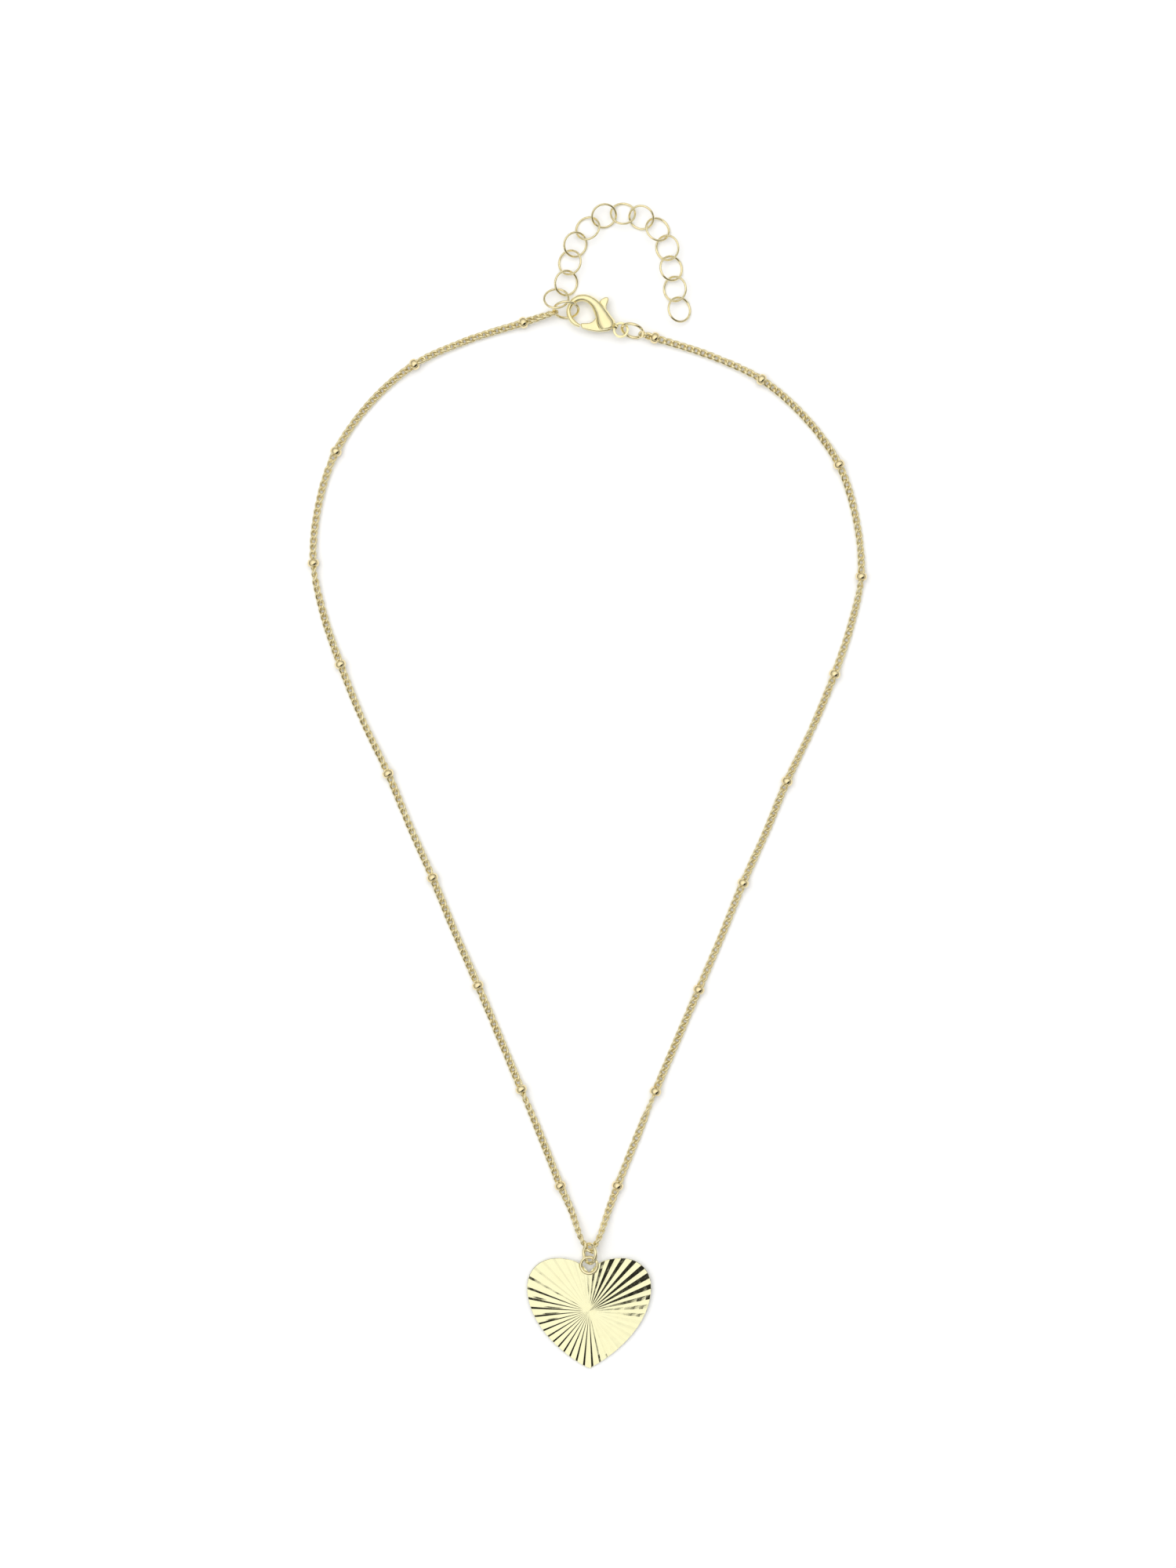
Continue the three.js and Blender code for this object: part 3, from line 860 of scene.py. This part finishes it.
def plate_mesh(points, thickness, edge, smooth_steps):
    """A plate with rounded edges, centred on z = 0. With 0 steps its outline keeps its corners."""
    if smooth_steps:
        wrapped = [*points[-2:], *points, *points[:2]]
        line = smooth_line([(x, y, 0) for x, y in wrapped], smooth_steps)
        line = line[2 * smooth_steps:-(smooth_steps + 1)]
    else:
        line = [Vector((x, y, 0)) for x, y in points]
    count = len(line)
    normals = []
    for i, p in enumerate(line):
        along = (line[(i + 1) % count] - line[i - 1]).normalized()
        normals.append(Vector((along.y, -along.x, 0)))
    area = sum(a.x * b.y - b.x * a.y for a, b in zip(line, line[1:] + line[:1])) / 2
    sign = 1 if area > 0 else -1
    half, corner = thickness / 2, 0.3 * edge
    levels = [(-half, edge), (-half + corner, corner), (-half + edge, 0)]
    levels += [(-z, inset) for z, inset in reversed(levels)]
    vertices = []
    for z, inset in levels:
        vertices += [p - sign * n * inset + Vector((0, 0, z)) for p, n in zip(line, normals)]
    faces = []
    for level in range(len(levels) - 1):
        low, high = level * count, (level + 1) * count
        for i in range(count):
            j = (i + 1) % count
            faces.append((low + i, low + j, high + j, high + i))
    faces.append(tuple(range(count))[::-1])
    faces.append(tuple(range((len(levels) - 1) * count, len(levels) * count)))
    return vertices, faces


# %% Cut one solid with another, or join them
def combine(base, tool, how):
    """Joins the tool to the base, or cuts it away, and leaves one mesh."""
    boolean = base.modifiers.new(how.lower(), "BOOLEAN")
    boolean.operation = how
    boolean.solver = "EXACT"
    boolean.object = tool
    finished_mesh(base)
    bpy.data.objects.remove(tool)


def finished_mesh(solid):
    """Applies the solid's modifiers to its mesh."""
    evaluated = solid.evaluated_get(bpy.context.evaluated_depsgraph_get())
    mesh = bpy.data.meshes.new_from_object(evaluated)
    solid.modifiers.clear()
    solid.data = mesh


# %% The casting: bar, tail with its eye, slot
TAIL_EYE = (3.75, -1.75)
TAIL_RADIUS = 1.5
TAIL_HOLE = 1.0
TAIL_THICK = 0.8
SLOT = [
    (-1.7, -2.6), (1.9, -2.6), (2.0, -1.7), (1.2, -0.45), (1.3, -0.4), (1.75, -0.35), (2.6, 0.9),
    (3.4, 2.0), (2.4, 4.8), (-0.28, 4.8), (-0.28, 1.15), (-0.75, 1.1), (-1.6, 0.85),
]
SLOT_WIDTH = 1.2
SLOT_EDGE = 0.02
EYE_SECTION_STEPS = 12
EYE_ROUND = 0.7
NEARLY_UP = Vector((0.0001, 0, 1))  # a part can't be faced along a line that is exactly upright


def tail_ring():
    """The tail's eye: a flat ring with rounded edges, spun about its own axis."""
    half_wall = (TAIL_RADIUS - TAIL_HOLE) / 2
    middle = (TAIL_RADIUS + TAIL_HOLE) / 2
    profile = []
    for i in range(EYE_SECTION_STEPS):
        angle = 2 * math.pi * i / EYE_SECTION_STEPS
        height = TAIL_THICK / 2 * eased(math.sin(angle), EYE_ROUND)
        profile.append((height, middle + half_wall * eased(math.cos(angle), EYE_ROUND)))
    return spun(profile, Vector((*TAIL_EYE, 0)), NEARLY_UP, 48)


casting = bare_solid("clasp_casting", *lofted_bar(SPINE))
combine(casting, bare_solid("neck", *lofted_bar(NECK)), "UNION")
combine(casting, bare_solid("tail", *tail_ring()), "UNION")
slot = bare_solid("slot", *plate_mesh(SLOT, SLOT_WIDTH, SLOT_EDGE, smooth_steps=0))
combine(casting, slot, "DIFFERENCE")
print(f"clasp casting: {len(casting.data.polygons)} faces")

# %% Smooth the casting and put it in place
def place_in_clasp(solid, body):
    """From millimetres about the rivet to its place in the necklace, in cast gold."""
    solid.data.transform(Matrix.Scale(MM, 4))
    solid.data.transform(Matrix.Translation(CLASP_MIDDLE))
    solid.data.materials.clear()
    solid.data.materials.append(cast_gold)
    for polygon in solid.data.polygons:
        polygon.use_smooth = True
        polygon.material_index = 0
    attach(solid, body)


def smooth_by_angle(solid, degrees):
    """Shades across soft edges and keeps hard ones crisp."""
    builder = bmesh.new()
    builder.from_mesh(solid.data)
    for edge in builder.edges:
        if len(edge.link_faces) == 2:
            edge.smooth = edge.calc_face_angle() < math.radians(degrees)
    builder.to_mesh(solid.data)
    builder.free()


smooth_by_angle(casting, 40)
place_in_clasp(casting, "clasp")
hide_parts("clasp_body")
print("casting in place")

# %% [markdown]
# ## The lever
# The lever is stamped from plate and tumbled, so it has one outline, an even thickness and soft edges.
# It runs from the hook's tip, past the rivet, and up through the slot to the fin that a thumb pulls. An
# outline with a rounded edge on both sides is all it needs, and its corners are smoothed by the same
# curve that the chain follows.

# %% The lever with its thumb fin, in millimetres from the rivet
LEVER = [
    (-3.62, -0.62), (-3.42, -1.43), (-2.96, -1.63), (-1.48, -1.97), (-0.36, -2.11), (1.2, -2.0),
    (1.7, -1.85), (1.0, -0.5), (1.05, 0.5), (1.19, 1.85), (1.12, 2.5), (1.41, 3.4), (1.48, 4.0),
    (1.19, 4.3), (0.31, 4.0), (-0.14, 3.5), (-0.05, 2.6), (-0.12, 1.0), (-0.9, 0.45), (-1.45, -0.2),
    (-2.2, -0.5),
]
LEVER_THICK = 1.0
LEVER_EDGE = 0.2
lever = bare_solid("lobster_lever", *plate_mesh(LEVER, LEVER_THICK, LEVER_EDGE, smooth_steps=3))
smooth_by_angle(lever, 50)
place_in_clasp(lever, "clasp_lever")
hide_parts("clasp_lever")
print(f"lever: {len(lever.data.polygons)} faces")

# %% [markdown]
# ## The pin and the spring
# Two small parts are hardly seen. The rivet shows only as a peened disc on the back of the clasp, and
# the spring is a bent strip of steel down in the slot. Both keep the shapes of the plain solids and
# only need their finish, so the solids stay and take a material.

# %% Finish the solids that stay
STEEL = (0.62, 0.61, 0.60)
DARK_STEEL = (0.50, 0.48, 0.46)
steel = gold_finish("spring_steel", STEEL, DARK_STEEL, roughness=(0.25, 0.40), wear_um=2.0, wear_mm=0.15)
for node, finish in (("clasp_rivet", cast_gold), ("clasp_spring", steel)):
    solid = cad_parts[node]
    solid.data.materials.clear()
    solid.data.materials.append(finish)
print("rivet and spring keep their solids")

# %% [markdown]
# ## Table, backdrop and light
# Polished metal is only as good as what it mirrors. The table is a plain pale sheet, and a pale wall
# curves up behind it. Over them a white sky stands for a light tent. Three dark areas in it give the
# gold its contrast:
# - a flag low to the right, which darkens the broad flanks at the heart's upper right and the steep
#   flanks at its lower left
# - a low band all round, which draws a line along both sides of each wire
# - a thin hoop above the band, which gives the wires a second, finer line
#
# Cards round the table would do the same. Painting them into the sky keeps them out of the way, and
# each edge is one number.

# %% Table and sweep
SCENERY_STEPS = 96


def plain_white(name, brightness):
    material = bpy.data.materials.new(name)
    material.use_nodes = True
    shader = material.node_tree.nodes["Principled BSDF"]
    shader.inputs["Base Color"].default_value = (brightness, brightness, brightness, 1)
    shader.inputs["Roughness"].default_value = 0.7
    shader.inputs["Specular IOR Level"].default_value = 0.2
    return material


def disc(radius):
    angles = [2 * math.pi * i / SCENERY_STEPS for i in range(SCENERY_STEPS)]
    return [fan_point(angle, radius, 0) for angle in angles], [tuple(range(SCENERY_STEPS))]


def stage_object(name, vertices, faces, material):
    piece = bare_solid(name, vertices, faces)
    piece.data.materials.append(material)
    piece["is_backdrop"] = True
    return piece


TABLE_RADIUS = 0.9
TABLE_DROP = 0.02 * MM  # keeps the table's face off the undersides of the links
WALL_GAP = 0.3
WALL_HEIGHT = 1.0
WALL_CURVE = 0.3
WALL_CURVE_STEPS = 12
table_white = plain_white("table_white", 0.92)
table = stage_object("table", *disc(TABLE_RADIUS), table_white)
table.location.z = -TABLE_DROP


def sweep_wall(radius, height, curve):
    """A wall all round that curves up from the floor."""
    turns = [math.pi / 2 * i / WALL_CURVE_STEPS for i in range(WALL_CURVE_STEPS + 1)]
    profile = [(radius - curve + curve * math.sin(a), curve - curve * math.cos(a)) for a in turns]
    profile.append((radius, height))
    vertices, faces = [], []
    for i in range(SCENERY_STEPS):
        angle = 2 * math.pi * i / SCENERY_STEPS
        vertices += [fan_point(angle, r, z) for r, z in profile]
    count = len(profile)
    for i in range(SCENERY_STEPS):
        here, there = i * count, (i + 1) % SCENERY_STEPS * count
        for k in range(count - 1):
            faces.append((here + k, there + k, there + k + 1, here + k + 1))
    return vertices, faces


wall = stage_object("backdrop", *sweep_wall(TABLE_RADIUS + WALL_GAP, WALL_HEIGHT, WALL_CURVE), table_white)
for polygon in wall.data.polygons:
    polygon.use_smooth = True
wall.visible_glossy = False
wall.visible_shadow = False
wall.visible_diffuse = False
print(f"table {2 * TABLE_RADIUS:.1f} m across, wall {WALL_HEIGHT:.1f} m high")

# %% The white sky with its dark flag, low band and hoop
# A direction is given by its slants: how far it leans along x and along y for each unit it rises.
SKY = 1.2  # brightness overhead
SIDE_LIGHT = 0.78  # share of it that is left low down
SIDE_SLANT = 0.75
SIDE_SOFT = 0.55
FLAG_LIGHT = 0.02
FLAG_SIDE = 0.07  # x slant of its left edge
FLAG_TOP = (-0.36, 0.46)  # y slant of its top edge at x slant 0, and how that edge climbs
FLAG_KNEE = (-0.62, 1.3)  # y slant below which the left edge leans, and by how much
FLAG_END = 1.6  # slant where the flag stops
FLAG_SOFT = 0.03
FLAG_END_SOFT = 0.2
BAND_LIGHT = 0.03
BAND_TOP = 0.25  # rise of a direction of length 1, as for the hoop
BAND_SOFT = 0.06
HOOP_LIGHT = 0.25
HOOP_EDGES = (0.45, 0.57)
HOOP_SOFT = 0.02
LOWEST_RISE = 0.05


def calc(operation, a, b=0.0):
    """One step of arithmetic in the sky's nodes, on numbers or on other steps."""
    node = sky.nodes.new("ShaderNodeMath")
    node.operation = operation
    for socket, value in zip(node.inputs, (a, b)):
        if isinstance(value, (int, float)):
            socket.default_value = value
        else:
            sky.links.new(value, socket)
    return node.outputs[0]


def above(value, edge, soft):
    """0 below the edge, 1 above it, and a smooth rise across it."""
    step = sky.nodes.new("ShaderNodeMapRange")
    step.interpolation_type = "SMOOTHSTEP"
    step.inputs["From Min"].default_value = edge - soft
    step.inputs["From Max"].default_value = edge + soft
    sky.links.new(value, step.inputs["Value"])
    return step.outputs["Result"]


def below(value, edge, soft):
    return calc("SUBTRACT", 1.0, above(value, edge, soft))


def dimmed(light, where, left):
    """The light with only a share of it left where the area is 1."""
    return calc("MULTIPLY", light, calc("SUBTRACT", 1.0, calc("MULTIPLY", where, 1 - left)))


world = bpy.data.worlds.new("light_tent")
bpy.context.scene.world = world
world.use_nodes = True
sky = world.node_tree
direction = sky.nodes.new("ShaderNodeSeparateXYZ")
sky.links.new(sky.nodes.new("ShaderNodeTexCoord").outputs["Generated"], direction.inputs[0])
dx, dy, rise = direction.outputs
rising = calc("MAXIMUM", rise, LOWEST_RISE)
slant_x = calc("DIVIDE", dx, rising)
slant_y = calc("DIVIDE", dy, rising)
slant = calc("SQRT", calc("ADD", calc("MULTIPLY", slant_x, slant_x), calc("MULTIPLY", slant_y, slant_y)))

under_knee = calc("MINIMUM", calc("SUBTRACT", slant_y, FLAG_KNEE[0]), 0.0)
from_side = calc("SUBTRACT", slant_x, calc("MULTIPLY", under_knee, FLAG_KNEE[1]))
top_edge = calc("ADD", calc("MULTIPLY", slant_x, FLAG_TOP[1]), FLAG_TOP[0])
under_top = above(calc("SUBTRACT", top_edge, slant_y), 0.0, FLAG_SOFT)
flag = calc("MULTIPLY", above(from_side, FLAG_SIDE, FLAG_SOFT), under_top)
flag = calc("MULTIPLY", flag, below(slant, FLAG_END, FLAG_END_SOFT))
low_band = below(rise, BAND_TOP, BAND_SOFT)
hoop = calc("MULTIPLY", above(rise, HOOP_EDGES[0], HOOP_SOFT), below(rise, HOOP_EDGES[1], HOOP_SOFT))
sides = above(slant, SIDE_SLANT, SIDE_SOFT)

light = SKY
for where, left in ((flag, FLAG_LIGHT), (low_band, BAND_LIGHT), (sides, SIDE_LIGHT), (hoop, HOOP_LIGHT)):
    light = dimmed(light, where, left)
background = sky.nodes["Background"]
background.inputs["Color"].default_value = (1, 1, 1, 1)
sky.links.new(light, background.inputs["Strength"])
print(f"sky: {len(sky.nodes)} nodes")

# %% A soft lamp that gives the parts their shadow
LAMP_SIZE = 1.3
LAMP_POWER = 6.0
LAMP_PLACE = (-0.12, 0.16, 0.95)
lamp_data = bpy.data.lights.new("softbox", "AREA")
lamp_data.shape = "DISK"
lamp_data.size = LAMP_SIZE
lamp_data.energy = LAMP_POWER
lamp = bpy.data.objects.new("softbox", lamp_data)
lamp.location = LAMP_PLACE
lamp.visible_glossy = False
lamp.rotation_euler = (-lamp.location).to_track_quat("-Z", "Y").to_euler()
bpy.context.collection.objects.link(lamp)
bpy.context.scene.view_settings.view_transform = "Standard"
print(f"softbox {LAMP_SIZE * 1000:.0f} mm wide, {lamp.location.length * 1000:.0f} mm from the middle")

# %% Measure the finished necklace against the frame
model_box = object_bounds()
for title, box in (("frame", frame_box), ("model", model_box)):
    print(title, [round(c * 1000, 2) for corner in box for c in corner])
